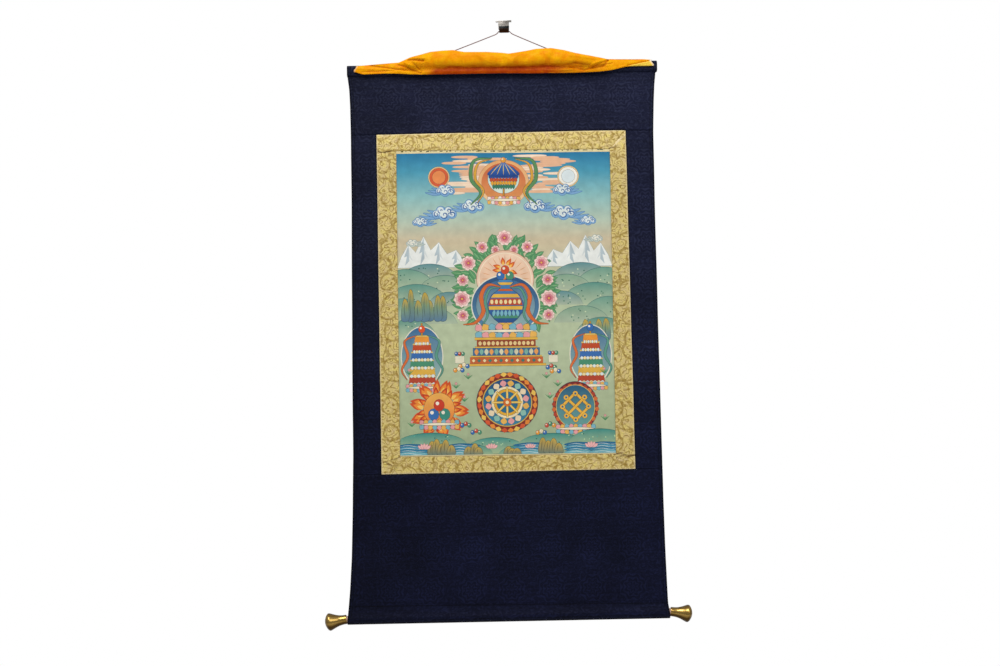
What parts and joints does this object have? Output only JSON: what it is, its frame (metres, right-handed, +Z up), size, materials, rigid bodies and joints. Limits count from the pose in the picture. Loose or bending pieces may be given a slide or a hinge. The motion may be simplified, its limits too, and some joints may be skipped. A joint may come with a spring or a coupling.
{
  "type": "thangka scroll painting with wall hook",
  "caption": "Hanging scroll painting: print framed in gold brocade on navy damask, rolled-up saffron silk cover, rods in sleeves, brass knobs, hanging cord over a plain wall hook.",
  "frame": {"origin": "centre of the wall hook's flat back face, level with the bend of its strap", "axes": "+X to the right along the wall, +Y into the wall, +Z up, so the front of the scroll faces -Y"},
  "size_m": [0.7124, 0.051, 1.208],
  "materials": {
    "navy_damask": "satin-woven damask, tone on tone",
    "gold_brocade": "brocade with metallic thread",
    "picture_print": "matt printed cloth",
    "saffron_silk": "thin plain-woven silk",
    "rod_wood": "smooth, unfinished",
    "knob_brass": "polished",
    "cord_braid": "twisted cord",
    "hook_steel": "bent strip, lightly worn"
  },
  "bodies": {
    "root": {"top_panel": "navy_damask", "bottom_panel": "navy_damask", "side_strip_left": "navy_damask", "side_strip_right": "navy_damask", "gold_top": "gold_brocade", "gold_bottom": "gold_brocade", "gold_left": "gold_brocade", "gold_right": "gold_brocade", "picture": "picture_print", "cover": "saffron_silk", "top_rod": "rod_wood", "bottom_dowel": "rod_wood", "knob_left": "knob_brass", "knob_right": "knob_brass", "cord": "cord_braid", "knot_left": "cord_braid", "knot_right": "cord_braid", "wall_hook": "hook_steel"}
  },
  "joints": []
}
